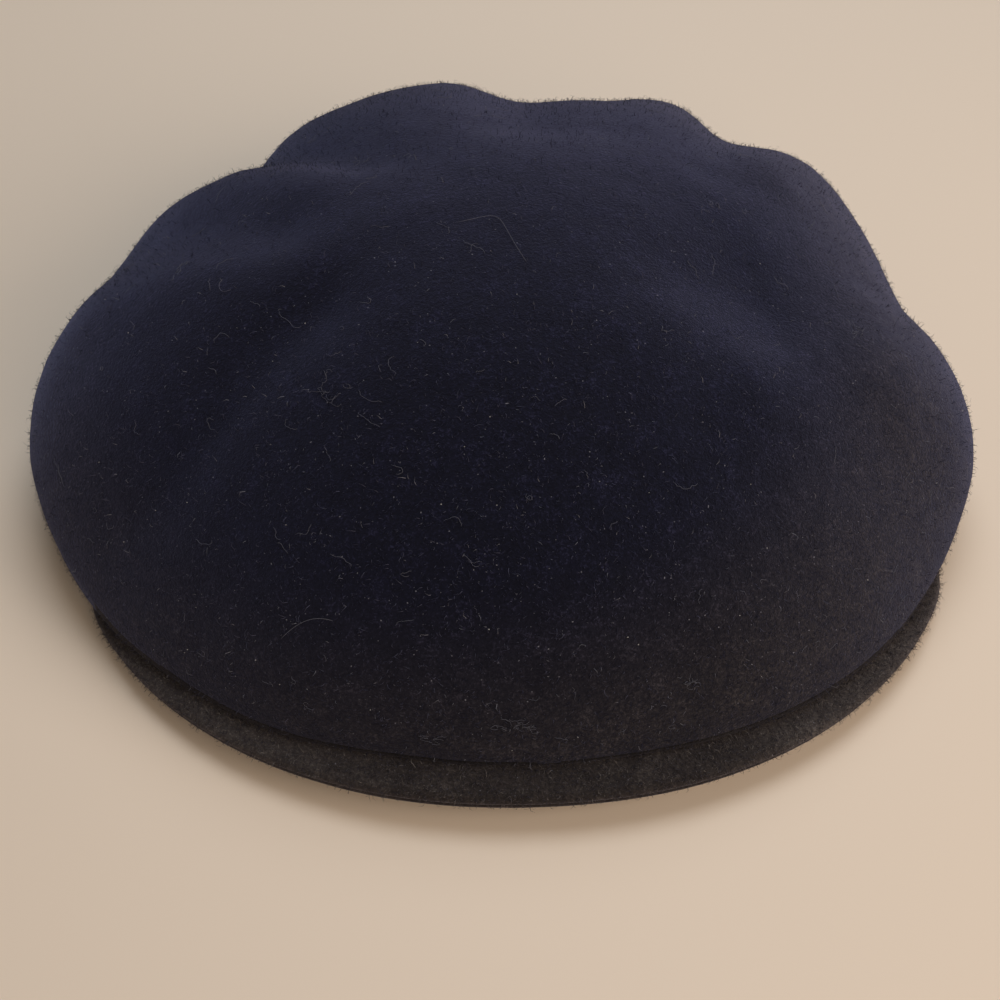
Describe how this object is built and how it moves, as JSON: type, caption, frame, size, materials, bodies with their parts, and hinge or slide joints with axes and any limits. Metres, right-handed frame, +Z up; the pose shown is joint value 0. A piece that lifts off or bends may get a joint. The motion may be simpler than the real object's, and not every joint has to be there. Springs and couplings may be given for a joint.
{
  "type": "beret",
  "caption": "Soft seamless felted-wool beret with a short stiff peak: full, loosely folded crown over an oval head opening with an inner ribbon sweatband and blank tabs.",
  "frame": {"origin": "centre of the bounding box in plan, at the level of the rim's lower edge, on which the beret stands", "axes": "+Z up through the crown, -Y towards the peak (the front), +X to the wearer's left"},
  "size_m": [0.2678, 0.2591, 0.0879],
  "materials": {
    "felt": "felted wool with a fine matt nap, blue-black",
    "board": "plain sheet",
    "ribbon": "ribbed ribbon, black",
    "thread": "spun thread, black",
    "label": "woven satin tab, blank",
    "care_tape": "printed-type tape, blank"
  },
  "bodies": {
    "crown": {"crown_shell": "felt", "sweatband": "ribbon", "sweatband_thread": "thread", "sweatband_join_thread": "thread", "size_label_thread": "thread", "care_label_thread": "thread"},
    "peak": {"peak_top_cover": "felt", "peak_under_cover": "felt", "peak_board": "board", "crown_tack_thread": "thread", "peak_root_thread": "thread"},
    "size_label": {"size_label": "label"},
    "care_label": {"care_label": "care_tape"}
  },
  "joints": [
    {"name": "peak_flex", "type": "hinge", "parent": "crown", "child": "peak", "pos_m": [0.001, -0.014, 0.005], "axis": [1, 0, 0], "range_deg": [-5, 2], "stiffness_Nm_per_rad": 3, "deforming": ["crown_shell"]},
    {"name": "size_label_flap", "type": "hinge", "parent": "crown", "child": "size_label", "pos_m": [0.034, 0.09598, 0.0245], "axis": [-0.8842, 0.4671, 0], "range_deg": [0, 110]},
    {"name": "care_label_flap", "type": "hinge", "parent": "crown", "child": "care_label", "pos_m": [-0.03469, 0.09363, 0.0255], "axis": [-0.8626, -0.5059, 0], "range_deg": [0, 110]}
  ]
}
